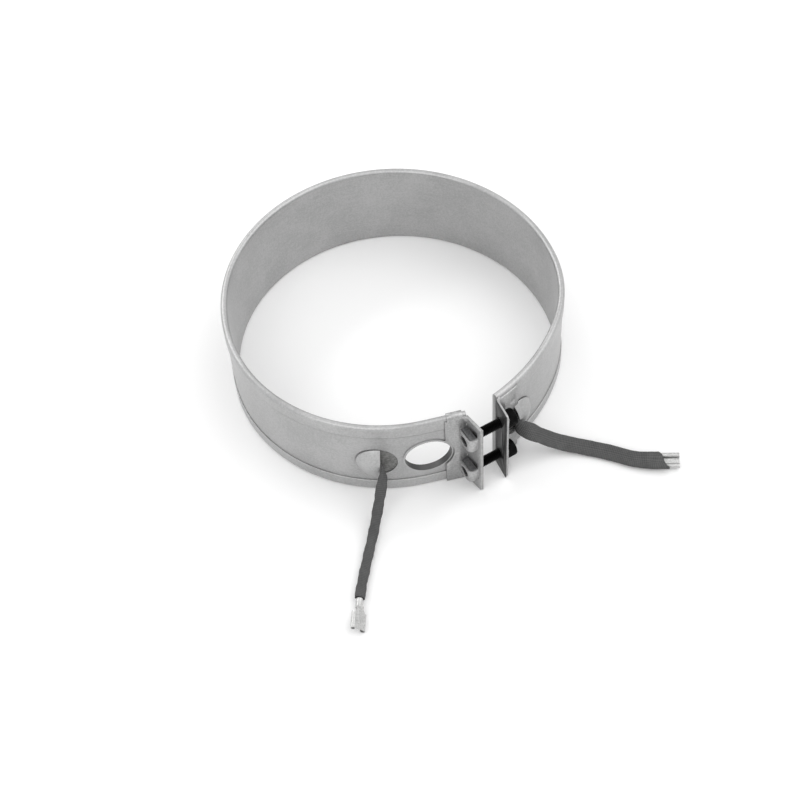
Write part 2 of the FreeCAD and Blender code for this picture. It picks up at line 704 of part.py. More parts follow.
def build():
    hole = Station(HOLE_AZIMUTH)
    left, right = Station(LEFT_BLISTER_AZIMUTH), Station(RIGHT_BLISTER_AZIMUTH)
    left_wire, left_sleeve, left_end, left_forward = lead("left", left, LEFT_ROUTE, CRIMP)
    right_wire, right_sleeve, right_end, right_forward = lead("right", right, RIGHT_ROUTE, 0.6)
    nodes = {
        "inner_sheath": inner_sheath(hole),
        "outer_cover": outer_cover(hole, (left, right)),
        "hole_collar": hole_collar(hole),
        "inner_mica": inner_mica(hole),
        "core_mica": core_mica(hole),
        "outer_mica": outer_mica(hole, (left, right)),
        "resistance_ribbon": resistance_ribbon(),
        "left_element_tag": element_tag(left),
        "right_element_tag": element_tag(right),
        "left_bracket": left_bracket(hole),
        "left_backing_plate": Ear(-1).backing(),
        "right_backing_plate": Ear(1).backing(),
        "right_bracket": right_bracket(right),
        "left_lead_wire": left_wire,
        "left_lead_sleeve": left_sleeve,
        "left_terminal": push_on_terminal(left_end, left_forward, 218),
        "right_lead_wire": right_wire,
        "right_lead_sleeve": right_sleeve,
        "right_terminal": push_on_terminal(right_end, right_forward, -20),
    }
    for name, z in SCREW_ZS.items():
        nodes[f"{name}_nut"] = square_nut(z)
        nodes[f"{name}_screw"] = cap_screw(z)
    return nodes


os.makedirs("parts", exist_ok=True)
for node, shape in build().items():
    if not shape.isValid() or shape.Volume < 0.1:
        raise SystemExit(f"{node} is not a sound solid")
    print(f"{node}: {len(shape.Solids)} solid, {shape.Volume:.1f} mm3")
    shape.translate(Vector(0, 0, -BAND_HEIGHT / 2))
    shape.exportStep(f"parts/{node}.step")
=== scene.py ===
import json
import math

import bpy
import numpy as np
from mathutils import Matrix, Vector


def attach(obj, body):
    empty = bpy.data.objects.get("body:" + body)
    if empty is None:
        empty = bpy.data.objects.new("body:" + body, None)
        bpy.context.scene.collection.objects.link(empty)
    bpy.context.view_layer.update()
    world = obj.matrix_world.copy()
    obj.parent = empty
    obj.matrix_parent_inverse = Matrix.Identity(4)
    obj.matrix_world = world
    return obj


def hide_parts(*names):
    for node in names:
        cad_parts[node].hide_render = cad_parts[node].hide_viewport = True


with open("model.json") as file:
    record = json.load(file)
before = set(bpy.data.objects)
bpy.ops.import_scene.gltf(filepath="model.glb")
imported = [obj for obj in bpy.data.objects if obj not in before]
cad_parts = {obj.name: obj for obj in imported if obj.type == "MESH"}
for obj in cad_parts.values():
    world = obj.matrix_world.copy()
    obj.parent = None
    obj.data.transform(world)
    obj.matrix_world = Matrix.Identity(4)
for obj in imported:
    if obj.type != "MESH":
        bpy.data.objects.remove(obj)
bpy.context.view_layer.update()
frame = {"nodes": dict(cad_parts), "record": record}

NODES = frame["nodes"]
slots = {part["node"]: part["material_slot"] for part in frame["record"]["subparts"]}
scene = bpy.context.scene

# ------------------------------------------------------------------ dimensions of the band, in mm
# Heights are measured from the band's lower edge; a piece is moved down by BASE when it is made.
BASE = 25.0
HEIGHT = 50.0
HALF_WALL = 1.65
SHEET = 0.55
HEM = 7.5
RIGHT_END_X, LEFT_END_X = 8.8, -7.7
ARCS_BEHIND = (130.5, 242.0)
ARCS_RIGHT = ((85.9, 55.8), (66.5, 32.9))
ARCS_LEFT = ((92.5, 14.4), (78.1, 86.8))
RIGHT_END_RADIUS = 97.0
LEFT_END_RADIUS = 1500.0
MEAN_RADIUS = 81.1

HOLE_AZIMUTH, HOLE_Z, HOLE_RADIUS = 341.6, 23.9, 11.2
BLISTER_AZIMUTHS = {"left": 324.5, "right": 15.3}
BLISTER_Z, BLISTER_RADIUS, BLISTER_RISE, MOUTH = 22.6, 9.9, 4.6, 2.1

SCREW_Y, SCREW_HEIGHTS = -88.4, {"lower": 12.5, "upper": 37.5}
SCREW_END, SEAT, HEAD_LENGTH, HEAD_RADIUS = -12.4, 9.9, 5.0, 4.25

TAG_START, LEAD_DEPTH, LEAD_Z, TURN_OUT = -4.4, 2.75, 22.2, 4.0
ROUTES = {
    "left": ((-52.5, -78.5, 16.0), (-56.9, -82.2, 8.2), (-63.6, -89.3, 3.3), (-74.5, -101.3, 2.4),
             (-85.0, -113.8, 3.2), (-89.5, -120.6, 3.4)),
    "right": ((23.9, -89.4, 19.0), (30.4, -91.3, 11.4), (37.8, -94.9, 5.4), (46.8, -101.4, 2.5),
              (56.8, -111.8, 2.4), (64.6, -122.4, 2.6), (71.4, -126.9, 3.1)),
}


# ------------------------------------------------------------------ camera, lamps and floor

def camera():
    """Looks down on the ring from the left of its gap; yaw, dip and roll are in degrees."""
    yaw, dip, roll, turn = (math.radians(a) for a in (0.1114, 53.840, -4.554, -26.8))
    ahead = Vector((math.sin(yaw) * math.cos(dip), math.cos(yaw) * math.cos(dip), -math.sin(dip)))
    right = Vector((math.cos(yaw), -math.sin(yaw), 0))
    up = right.cross(ahead)
    right, up = right * math.cos(roll) + up * math.sin(roll), up * math.cos(roll) - right * math.sin(roll)
    place = Vector((0, -0.48486, 0.59657))
    about = Matrix.Rotation(turn, 3, "Z")
    axes = Matrix([about @ right, about @ up, about @ -ahead]).transposed()
    data = bpy.data.cameras.new("camera")
    data.sensor_width = 36
    data.lens = 69.0
    data.clip_start, data.clip_end = 0.01, 20
    made = bpy.data.objects.new("camera", data)
    made.matrix_world = Matrix.Translation(about @ place) @ axes.to_4x4()
    scene.collection.objects.link(made)
    scene.camera = made


camera()
scene.view_settings.view_transform = "Standard"


# ------------------------------------------------------------------ shader sockets and nodes

class Value:
    """A number or link in a material; arithmetic on it adds Math nodes."""

    def __init__(self, shader, socket):
        self.shader, self.socket = shader, socket

    def math(self, operation, *others):
        return self.shader.node("ShaderNodeMath", {"operation": operation}, self, *others)[0]

    def __add__(self, other):
        return self.math("ADD", other)

    def __sub__(self, other):
        return self.math("SUBTRACT", other)

    def __rsub__(self, other):
        return self.shader.node("ShaderNodeMath", {"operation": "SUBTRACT"}, other, self)[0]

    def __mul__(self, other):
        return self.math("MULTIPLY", other)

    def __truediv__(self, other):
        return self.math("DIVIDE", other)

    def __pow__(self, other):
        return self.math("POWER", other)

    __radd__, __rmul__ = __add__, __mul__

    def sin(self):
        return self.math("SINE")

    def clamp(self):
        return self.math("MAXIMUM", 0.0).math("MINIMUM", 1.0)

    def between(self, low, high):
        """0 below low, 1 above high, smooth between."""
        settings = {"interpolation_type": "SMOOTHSTEP"}
        return self.shader.node("ShaderNodeMapRange", settings, self, low, high, 0.0, 1.0)[0]


class Finish:
    """A material: node() adds any node, set() and the rest set the Principled shader."""

    def __init__(self, name, **constants):
        self.material = bpy.data.materials.new(name)
        self.material.use_nodes = True
        self.tree = self.material.node_tree
        self.shader = self.tree.nodes["Principled BSDF"]
        for key, value in constants.items():
            self.shader.inputs[key.replace("_", " ")].default_value = value

    def node(self, kind, settings=None, *values, **named):
        made = self.tree.nodes.new(kind)
        for key, value in (settings or {}).items():
            if key == "stops":
                ramp = made.color_ramp.elements
                while len(ramp) < len(value):
                    ramp.new(0.5)
                for element, (place, colour) in zip(ramp, value):
                    element.position, element.color = place, (*colour, 1) if len(colour) == 3 else colour
            else:
                setattr(made, key, value)
        pairs = list(zip(made.inputs, values)) + [(made.inputs[k.replace("_", " ")], v) for k, v in named.items()]
        for socket, value in pairs:
            if isinstance(value, Value):
                self.tree.links.new(value.socket, socket)
            elif value is not None:
                socket.default_value = value
        return [Value(self, out) for out in made.outputs if out.enabled]

    def place(self, source="Object"):
        made = self.tree.nodes.new("ShaderNodeTexCoord")
        return Value(self, made.outputs[source])

    def stretched(self, scale, source="Object"):
        return self.node("ShaderNodeMapping", None, self.place(source), Scale=scale)[0]

    def noise(self, where, scale, detail=3.0, roughness=0.5):
        return self.node("ShaderNodeTexNoise", None, Vector=where, Scale=scale, Detail=detail, Roughness=roughness)[0]

    def blend(self, mask, low, high):
        """Colour low where mask is 0, high where it is 1."""
        made = self.tree.nodes.new("ShaderNodeMix")
        made.data_type = "RGBA"
        for index, value in ((0, mask), (6, low), (7, high)):
            if isinstance(value, Value):
                self.tree.links.new(value.socket, made.inputs[index])
            else:
                made.inputs[index].default_value = value if index == 0 else (*value, 1)
        return Value(self, made.outputs[2])

    def set(self, **links):
        for key, value in links.items():
            self.tree.links.new(value.socket, self.shader.inputs[key.replace("_", " ")])
        return self

    def bump(self, height, strength, distance):
        normal = self.node("ShaderNodeBump", None, Strength=strength, Distance=distance, Height=height)[0]
        return self.set(Normal=normal)


def sheet_steel(name, tone, roughness=0.42, spread=0.14):
    """Plated sheet: cloudy tone, fine grain, a faint rolled grain along it; spread is the tone's share."""
    finish = Finish(name, Metallic=0.75)
    clouds = finish.noise(finish.place(), 45.0, 4.0, 0.6)
    fine = finish.noise(finish.place(), 1100.0, 3.0, 0.6)
    drawn = finish.noise(finish.stretched((1.0, 1.0, 30.0)), 60.0, 3.0, 0.6)
    mask = clouds * 0.38 + fine * 0.46 + drawn * 0.16
    low, high = (tuple(min(1.0, c * (1 + sign * spread)) for c in tone) for sign in (-1, 1))
    finish.set(Base_Color=finish.blend(mask.between(0.36, 0.64), low, high))
    finish.set(Roughness=(clouds * 0.16 + drawn * 0.12 + (roughness - 0.14)).clamp())
    return finish.bump(fine * 0.6 + drawn * 0.4, 0.12, 0.0004).material


def matt(name, tone, roughness=0.8, grain=700.0, spread=0.25, shine=0.35):
    """Dull surface with a speckled tone."""
    finish = Finish(name, Specular_IOR_Level=shine)
    speckle = finish.noise(finish.place(), grain, 3.0, 0.6)
    low, high = (tuple(c * (1 + sign * spread) for c in tone) for sign in (-1, 1))
    finish.set(Base_Color=finish.blend(speckle.between(0.36, 0.64), low, high))
    finish.set(Roughness=(speckle * 0.2 + (roughness - 0.1)).clamp())
    return finish.bump(speckle, 0.15, 0.0003).material


def braid(name, tone, strands=14.0, pitch=1.7):
    """Braided yarn on the sleeve's own map: u runs once round, v in centimetres along. Two sets of
    slanting strands cross; each strand is a soft ridge."""
    finish = Finish(name, Specular_IOR_Level=0.25)
    u, v, rest = finish.node("ShaderNodeSeparateXYZ", None, finish.place("UV"))
    turn, run = u * (2 * math.pi * strands), v * (2 * math.pi * 10 / pitch)
    weave = (turn + run).sin() * (turn - run).sin() * 0.5 + 0.5
    worn = finish.noise(finish.place(), 260.0, 3.0, 0.6)
    mask = (weave * 0.55 + worn * 0.6 - 0.05).clamp()
    low, high = (tuple(c * share for c in tone) for share in (0.45, 1.5))
    finish.set(Base_Color=finish.blend(mask, low, high))
    finish.set(Roughness=(worn * 0.15 + 0.8).clamp())
    return finish.bump(weave, 0.5, 0.0006).material


FINISHES = {
    "sheath_steel": sheet_steel("sheath steel", (0.42, 0.42, 0.42)),
    "cover_steel": sheet_steel("cover steel", (0.41, 0.41, 0.41)),
    "bracket_steel": sheet_steel("bracket steel", (0.38, 0.38, 0.38), 0.36, 0.25),
    "nut_steel": sheet_steel("nut steel", (0.22, 0.22, 0.225), 0.35, 0.25),
    "terminal_steel": sheet_steel("terminal plating", (0.50, 0.50, 0.495), 0.33, 0.25),
    "wire": sheet_steel("nickel strand", (0.36, 0.34, 0.31), 0.4),
    "ribbon": sheet_steel("ribbon alloy", (0.30, 0.29, 0.27), 0.5),
    "mica": matt("mica", (0.19, 0.19, 0.185)),
    "black_screw": matt("black oxide", (0.0012, 0.0012, 0.0012), 0.40, 900.0, 0.3, 0.06),
    "sleeve": braid("braided glass sleeve", (0.095, 0.095, 0.095)),
}


def eyelet_painted_bore_shade(name, centre, axis, bore, bore_painted_shade, light):
    """Steel collar finish with painted shade on its bore: the bore takes the deeper tone, the face the lighter; the
    mask is the distance from the hole's axis against the bore.
    """
    finish = Finish(name, Metallic=0.6)
    vector = "ShaderNodeVectorMath"
    away = finish.node(vector, {"operation": "SUBTRACT"}, finish.place(), centre)[0]
    along = finish.node(vector, {"operation": "DOT_PRODUCT"}, away, axis)[-1]
    reach = finish.node(vector, {"operation": "LENGTH"}, away)[-1]
    radius = (reach * reach - along * along) ** 0.5
    speckle = finish.noise(finish.place(), 700.0)
    # Painted shade: the bore is coloured the deeper tone, the face beyond it the lighter one.
    finish.set(Base_Color=finish.blend((radius / bore).between(1.008, 1.02), bore_painted_shade, light))
    return finish.set(Roughness=speckle * 0.2 + 0.4).material


# Parts whose finish differs from the rest of their slot: the hole's collar, with painted shade on its bore, and the
# right backing plate, coloured near black as painted shade where the gap shades it.
hole_mount = {m["name"]: m for m in frame["record"]["mounts"]}["wall_hole"]
FINISH_OVERRIDES_AND_PAINTED_SHADE = {
    # Collar: deep grey on its bore as painted shade, light grey on its face.
    "hole_collar": eyelet_painted_bore_shade("eyelet_painted_bore_shade", hole_mount["pos_m"], hole_mount["axis"], hole_mount["dims"]["r_mm"] / 1000,
                          (0.09, 0.09, 0.09), (0.44, 0.44, 0.44)),
    # Painted shade: the right backing plate is coloured near black for the shade that the gap puts on it.
    "right_backing_plate": sheet_steel("gap plate painted shade", (0.055, 0.055, 0.055), 0.5, 0.4),
}


def lamp(name, place, size, watts):
    data = bpy.data.lights.new(name, "AREA")
    data.shape, data.size, data.size_y, data.energy = "RECTANGLE", size[0], size[1], watts
    made = bpy.data.objects.new(name, data)
    made.location = place
    made.rotation_mode = "QUATERNION"
    made.rotation_quaternion = (Vector(place)).to_track_quat("Z", "Y")
    scene.collection.objects.link(made)


def studio():
    """White surround, two large soft lamps and a pale floor at the band's lower edge."""
    world = bpy.data.worlds.new("studio")
    scene.world = world
    world.use_nodes = True
    nodes, links = world.node_tree.nodes, world.node_tree.links
    path = nodes.new("ShaderNodeLightPath")
    seen = path.outputs["Is Camera Ray"]
    for other in ("Is Glossy Ray", "Is Transmission Ray"):
        either = nodes.new("ShaderNodeMath")
        either.operation = "MAXIMUM"
        links.new(seen, either.inputs[0])
        links.new(path.outputs[other], either.inputs[1])
        seen = either.outputs[0]
    strength = nodes.new("ShaderNodeMapRange")
    links.new(seen, strength.inputs[0])
    strength.inputs[3].default_value, strength.inputs[4].default_value = 0.72, 1.0
    links.new(strength.outputs[0], nodes["Background"].inputs["Strength"])
    nodes["Background"].inputs["Color"].default_value = (1, 1, 1, 1)
    lamp("key", (0.75, -0.35, 1.25), (1.5, 1.5), 9.0)
    lamp("fill", (-0.8, -0.5, 1.2), (1.0, 1.0), 4.5)
    lamp("rim", (-0.25, 1.0, 0.8), (1.0, 0.25), 4.0)
    side = 4.0
    mesh = bpy.data.meshes.new("floor")
    level = -BASE / 1000
    mesh.from_pydata([(-side, -side, level), (side, -side, level), (side, side, level), (-side, side, level)], [], [(0, 1, 2, 3)])
    floor = bpy.data.objects.new("floor", mesh)
    paper = Finish("floor paper", Roughness=0.9)
    grain = paper.noise(paper.place(), 30.0)
    paper.set(Base_Color=paper.blend(grain, (0.97, 0.97, 0.97), (0.99, 0.99, 0.99)))
    mesh.materials.append(paper.material)
    scene.collection.objects.link(floor)


studio()


# ------------------------------------------------------------------ meshes

def grid_faces(rows, columns, close_rows=False, close_columns=False, first=0):
    """Quads between neighbours of a rows x columns grid of points, wrapping round where it closes."""
    r = np.arange(rows if close_rows else rows - 1)[:, None]
    c = np.arange(columns if close_columns else columns - 1)[None, :]
    r2, c2 = (r + 1) % rows, (c + 1) % columns
    corners = (r * columns + c, r * columns + c2, r2 * columns + c2, r2 * columns + c)
    return first + np.stack([np.broadcast_to(k, (r.shape[0], c.shape[1])) for k in corners], -1).reshape(-1, 4)


def piece(name, points, faces, slot, body="band", uv=None, weld=0.0, smooth=40.0):
    """Mesh from points in mm with heights from the lower edge; it rides on a body and takes a slot's finish."""
    points = np.asarray(points, float).reshape(-1, 3) / 1000 - np.array([0, 0, BASE / 1000])
    faces = [f for f in (np.concatenate(faces) if isinstance(faces, list) else faces).tolist()]
    mesh = bpy.data.meshes.new(name)
    mesh.from_pydata(points.tolist(), [], faces)
    if uv is not None:
        layer = mesh.uv_layers.new(name="UVMap")
        corners = np.zeros(len(mesh.loops), np.int32)
        mesh.loops.foreach_get("vertex_index", corners)
        layer.data.foreach_set("uv", np.asarray(uv, np.float32).reshape(-1, 2)[corners].ravel())
    mesh.materials.append(FINISHES[slot])
    mesh.shade_smooth()
    made = bpy.data.objects.new(name, mesh)
    scene.collection.objects.link(made)
    if weld:
        modifier = made.modifiers.new("weld", "WELD")
        modifier.merge_threshold = weld / 1000
    mesh.set_sharp_from_angle(angle=math.radians(smooth))
    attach(made, body)
    return made


def thicken(made, sheet):
    modifier = made.modifiers.new("thickness", "SOLIDIFY")
    modifier.thickness = sheet / 1000
    modifier.offset = -1
    modifier.use_even_offset = False


# ------------------------------------------------------------------ the wall

def heading(azimuth):
    angle = np.radians(azimuth)
    return np.stack([np.sin(angle), -np.cos(angle)], -1)


def plan_arcs():
    """Arcs (centre, radius, first facing, last facing) of the wall's middle line, from its right end to its left."""
    arcs = [(np.zeros(2), MEAN_RADIUS, *ARCS_BEHIND)]
    for radius, angle in ARCS_RIGHT:
        centre, last_radius, first, last = arcs[0]
        arcs.insert(0, (centre + heading(first) * (last_radius - radius), radius, first - angle, first))
    for radius, angle in ARCS_LEFT:
        centre, last_radius, first, last = arcs[-1]
        arcs.append((centre + heading(last) * (last_radius - radius), radius, last, last + angle))
    centre, radius, first, last = arcs[0]
    start = centre + heading(first) * (radius - RIGHT_END_RADIUS)
    end = math.degrees(math.asin((RIGHT_END_X - start[0]) / RIGHT_END_RADIUS))
    arcs.insert(0, (start, RIGHT_END_RADIUS, end, first))
    centre, radius, first, last = arcs[-1]
    start = centre + heading(last) * (radius - LEFT_END_RADIUS)
    end = math.degrees(math.asin((LEFT_END_X - start[0]) / LEFT_END_RADIUS)) + 360
    return arcs + [(start, LEFT_END_RADIUS, last, end)]


ARCS = plan_arcs()
CENTRES = np.array([a[0] for a in ARCS])
RADII = np.array([a[1] for a in ARCS])
FIRST = np.array([a[2] for a in ARCS])
LENGTHS = np.radians(np.array([a[3] - a[2] for a in ARCS])) * RADII
STARTS = np.concatenate([[0], np.cumsum(LENGTHS)])
LENGTH = STARTS[-1]


def facing(s):
    """Direction that the wall faces, and its arc, at length s from the right end."""
    arc = np.clip(np.searchsorted(STARTS, s, side="right") - 1, 0, len(ARCS) - 1)
    return FIRST[arc] + np.degrees((s - STARTS[arc]) / RADII[arc]), arc


def wall(s, depth, z):
    """Point at length s along the wall, depth outwards from its middle, and height z."""
    s, depth, z = np.broadcast_arrays(np.asarray(s, float), depth, z)
    azimuth, arc = facing(s)
    level = CENTRES[arc] + heading(azimuth) * (RADII[arc] + depth)[..., None]
    return np.concatenate([level, z[..., None]], -1)


def length_at(azimuth):
    """Length along the wall of the place at an azimuth about the bore axis."""
    s = np.linspace(0, LENGTH, 4001)
    p = wall(s, 0.0, 0.0)
    return float(np.interp(azimuth, np.degrees(np.arctan2(p[:, 0], -p[:, 1])) % 360, s))


HOLE_S = length_at(HOLE_AZIMUTH)
BLISTER_S = {side: length_at(azimuth) for side, azimuth in BLISTER_AZIMUTHS.items()}


def marks(low, high, windows, step):
    """Grid lines from low to high: 18 cells across each window, and cells of about a step between."""
    lines = [low]
    for start, end in sorted(windows) + [(high, high)]:
        cells = max(1, int(round((start - lines[-1]) / step)))
        lines += list(np.linspace(lines[-1], start, cells + 1)[1:])
        if end > start:
            lines += list(np.linspace(start, end, 19)[1:])
    return np.array(lines)


def pierced(u_range, v_range, openings, steps):
    """Flat (u, v) grid with round openings (u, v, radius, half). Round an opening, rings run from its circle
    to the edge of a window of half width half, whose points are shared with the grid; all windows share
    one span of v."""
    u = marks(*u_range, [(cu - half, cu + half) for cu, cv, radius, half in openings], steps[0])
    low = min(cv - half for cu, cv, radius, half in openings)
    high = max(cv + half for cu, cv, radius, half in openings)
    v = marks(*v_range, [(low, high)], steps[1])
    points = [np.stack(np.meshgrid(u, v, indexing="ij"), -1).reshape(-1, 2)]
    faces = grid_faces(len(u), len(v))
    middle = points[0][faces].mean(1)
    keep = np.ones(len(faces), bool)
    for cu, cv, radius, half in openings:
        keep &= ~((np.abs(middle[:, 0] - cu) < half) & (middle[:, 1] > low) & (middle[:, 1] < high))
    faces = [faces[keep]]
    count = len(points[0])
    vs = v[(v > low - 1e-6) & (v < high + 1e-6)]
    for cu, cv, radius, half in openings:
        us = u[(u > cu - half - 1e-6) & (u < cu + half + 1e-6)]
        edge = np.concatenate([
            np.stack([us[:-1], np.full(len(us) - 1, low)], -1),
            np.stack([np.full(len(vs) - 1, us[-1]), vs[:-1]], -1),
            np.stack([us[:0:-1], np.full(len(us) - 1, high)], -1),
            np.stack([np.full(len(vs) - 1, us[0]), vs[:0:-1]], -1)])
        away = edge - (cu, cv)
        circle = (cu, cv) + radius * away / np.linalg.norm(away, axis=1)[:, None]
        t = np.linspace(0, 1, 8)[:, None, None] ** 1.3
        rings = circle * (1 - t) + edge * t
        points.append(rings.reshape(-1, 2))
        faces.append(grid_faces(8, len(edge), close_columns=True, first=count))
        count += rings.shape[0] * rings.shape[1]
    return np.concatenate(points), np.concatenate(faces)


def sheath_section(v):
    """(depth, height) at length v round the sheath's outer skin: up from the lower lip's edge it runs down
    outside, half a turn round the lower fold, up the inner wall, over the upper fold and down outside."""
    lip, turn, tall = HEM - HALF_WALL, math.pi * HALF_WALL, HEIGHT - 2 * HALF_WALL
    angle = np.clip((v - lip) / HALF_WALL, 0, math.pi)
    over = np.clip((v - lip - turn - tall) / HALF_WALL, 0, math.pi)
    depth = HALF_WALL * np.cos(angle) + (HALF_WALL - HALF_WALL * np.cos(over))
    z = HEM - np.clip(v, 0, lip) - HALF_WALL * np.sin(angle) + np.clip(v - lip - turn, 0, tall)
    z = z + HALF_WALL * np.sin(over) - np.clip(v - lip - 2 * turn - tall, 0, lip)
    return depth, z


def sheath():
    """Inner sheath: its section is carried along the wall; the through hole pierces the inner wall."""
    lip, turn, tall = HEM - HALF_WALL, math.pi * HALF_WALL, HEIGHT - 2 * HALF_WALL
    hole_v = lip + turn + HOLE_Z - HALF_WALL
    flat, faces = pierced((0, LENGTH), (0, 2 * lip + 2 * turn + tall), [(HOLE_S, hole_v, HOLE_RADIUS + 0.5, 12.6)],
                          (1.25, 0.55))
    depth, z = sheath_section(flat[:, 1])
    shell = piece("sheath", wall(flat[:, 0], depth, z), faces, "sheath_steel", weld=0.01)
    thicken(shell, SHEET)
    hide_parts("inner_sheath")


def sheath_end(name, s, inward):
    """Flap that closes one end of the wall: a plate with the section's outline, one sheet thick."""
    angle = np.linspace(0, 2 * math.pi, 49)[:-1]
    z = np.where(np.sin(angle) > 0, HEIGHT - HALF_WALL, HALF_WALL) + HALF_WALL * np.sin(angle)
    depth = HALF_WALL * np.cos(angle)
    rings = [(0.0, 0.0), (0.9, 0.0), (1.0, 0.12), (1.0, SHEET), (0.0, SHEET)]
    points = [wall(s + inward * along, depth * share, HEIGHT / 2 + (z - HEIGHT / 2) * (share > 0)
                   - (1 - share) * HALF_WALL * np.sin(angle) * (share > 0)) for share, along in rings]
    faces = grid_faces(len(rings), 48, close_columns=True)
    piece(name, np.stack(points), faces if inward < 0 else faces[:, ::-1], "sheath_steel", weld=0.001)


def blister(side, flat, count):
    """Hood of a blister: rows run from its round foot to the mouth's chord; the height over the cover is a
    ball's cap that eases into the foot."""
    sign = -1 if side == "right" else 1
    start = math.acos(MOUTH / BLISTER_RADIUS)
    angle = np.linspace(start, 2 * math.pi - start, 49)[:, None]
    t = np.linspace(0, 1, 15)[None, :]
    foot = BLISTER_RADIUS * np.stack([np.cos(angle), np.sin(angle)], -1)
    tip = BLISTER_RADIUS * math.sin(start)
    chord = np.stack([np.full_like(angle, MOUTH), tip * (math.pi - angle) / (math.pi - start)], -1)
    place = foot * (1 - t[..., None]) + chord * t[..., None]
    radius = np.linalg.norm(place, axis=-1)
    ball = (BLISTER_RADIUS ** 2 + BLISTER_RISE ** 2) / (2 * BLISTER_RISE)
    height = np.sqrt(ball ** 2 - np.minimum(radius, BLISTER_RADIUS) ** 2) - (ball - BLISTER_RISE)
    s = BLISTER_S[side] + sign * place[..., 0]
    points = wall(s, HALF_WALL - SHEET + height, BLISTER_Z + place[..., 1])
    faces = grid_faces(49, 15, first=count)
    return points.reshape(-1, 3), faces if sign > 0 else faces[:, ::-1]


def cover():
    """Outer cover with the through hole and two blisters; each blister's mouth is open on the gap's side."""
    low, high = 1.9, HEIGHT - 1.9
    openings = [(HOLE_S, HOLE_Z, HOLE_RADIUS + 0.5, 12.6)]
    openings += [(s, BLISTER_Z, BLISTER_RADIUS, 11.0) for s in BLISTER_S.values()]
    flat, faces = pierced((0.6, LENGTH - 0.6), (low, high), openings, (1.25, 1.2))
    points, faces = [wall(flat[:, 0], HALF_WALL - SHEET, flat[:, 1])], [faces[:, ::-1]]
    for side in BLISTER_S:
        hood, quads = blister(side, flat, sum(len(p) for p in points))
        points.append(hood)
        faces.append(quads)
    shell = piece("cover", np.concatenate(points), faces, "cover_steel", weld=0.01)
    thicken(shell, SHEET)
    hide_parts("outer_cover")


# ------------------------------------------------------------------ screws and pressed parts

def screw(side):
    """Cap screw turned about its axis: radius r(x, angle) from the tip, along the thread
    r = R - depth * |2 frac(x / pitch - angle / turn) - 1|, over the knurled head and down its hexagon socket."""
    angle = np.linspace(0, 2 * math.pi, 73)[None, :-1]
    pitch, depth, shank = 0.8, 0.42, 2.5
    x = np.arange(SCREW_END + 0.35, SEAT, pitch / 8)[:, None]
    ridge = np.abs(2 * np.mod(x / pitch - angle / (2 * math.pi), 1) - 1)
    taper = np.minimum(1, (x - SCREW_END) / 0.8 + 0.45)
    thread = (shank - depth * ridge) * taper
    hexagon = 2.0 / np.cos(np.mod(angle, math.pi / 3) - math.pi / 6)
    knurl = HEAD_RADIUS - 0.07 + 0.07 * np.cos(angle * 36)
    top = SEAT + HEAD_LENGTH
    rows = [(SCREW_END, 0 * angle), (SCREW_END, 0 * angle + 1.6)]
    rows += [(level, radius) for level, radius in zip(x[:, 0], thread)]
    rows += [(SEAT, 0 * angle + shank), (SEAT, 0 * angle + 4.0), (SEAT + 0.25, knurl), (SEAT + 2.0, knurl),
             (top - 0.8, knurl), (top - 0.55, 0 * angle + HEAD_RADIUS - 0.06),
             (top - 0.15, 0 * angle + HEAD_RADIUS - 0.3), (top, 0 * angle + HEAD_RADIUS - 0.65),
             (top, hexagon + 0.3), (top - 0.3, hexagon), (top - 2.6, hexagon), (top - 3.0, 0 * angle)]
    levels = np.array([row[0] for row in rows])[:, None] + 0 * angle
    radius = np.stack([np.broadcast_to(row[1], angle.shape)[0] for row in rows])
    points = np.stack([levels, SCREW_Y + radius * np.cos(angle), SCREW_HEIGHTS[side] + radius * np.sin(angle)], -1)
    faces = grid_faces(len(rows), 72, close_columns=True)[:, ::-1]
    made = piece(f"{side}_cap_screw", points, faces, "black_screw", body=f"{side}_screw", weld=0.001, smooth=35.0)
    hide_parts(f"{side}_screw")


def softened(name, width):
    """Copy of a part with its triangles joined and its edges eased by a small round."""
    node = NODES[name]
    mesh = node.data.copy()
    mesh.materials.clear()
    mesh.materials.append(FINISH_OVERRIDES_AND_PAINTED_SHADE.get(name, FINISHES[slots[name]]))
    made = bpy.data.objects.new(name + "_eased", mesh)
    scene.collection.objects.link(made)
    weld = made.modifiers.new("weld", "WELD")
    weld.merge_threshold = 2e-6
    bevel = made.modifiers.new("round", "BEVEL")
    bevel.width, bevel.segments, bevel.limit_method, bevel.angle_limit = width / 1000, 2, "ANGLE", math.radians(35)
    bevel.harden_normals = True
    mesh.shade_smooth()
    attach(made, "band")
    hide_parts(name)


# ------------------------------------------------------------------ leads

def station(side):
    """Middle of a blister on the wall, the level direction along it to the gap, and the way out."""
    azimuth, arc = facing(np.array(BLISTER_S[side]))
    out = np.append(heading(azimuth), 0)
    along = np.append(heading(azimuth + 90), 0) * (1 if side == "left" else -1)
    return wall(BLISTER_S[side], 0.0, 0.0), along, out


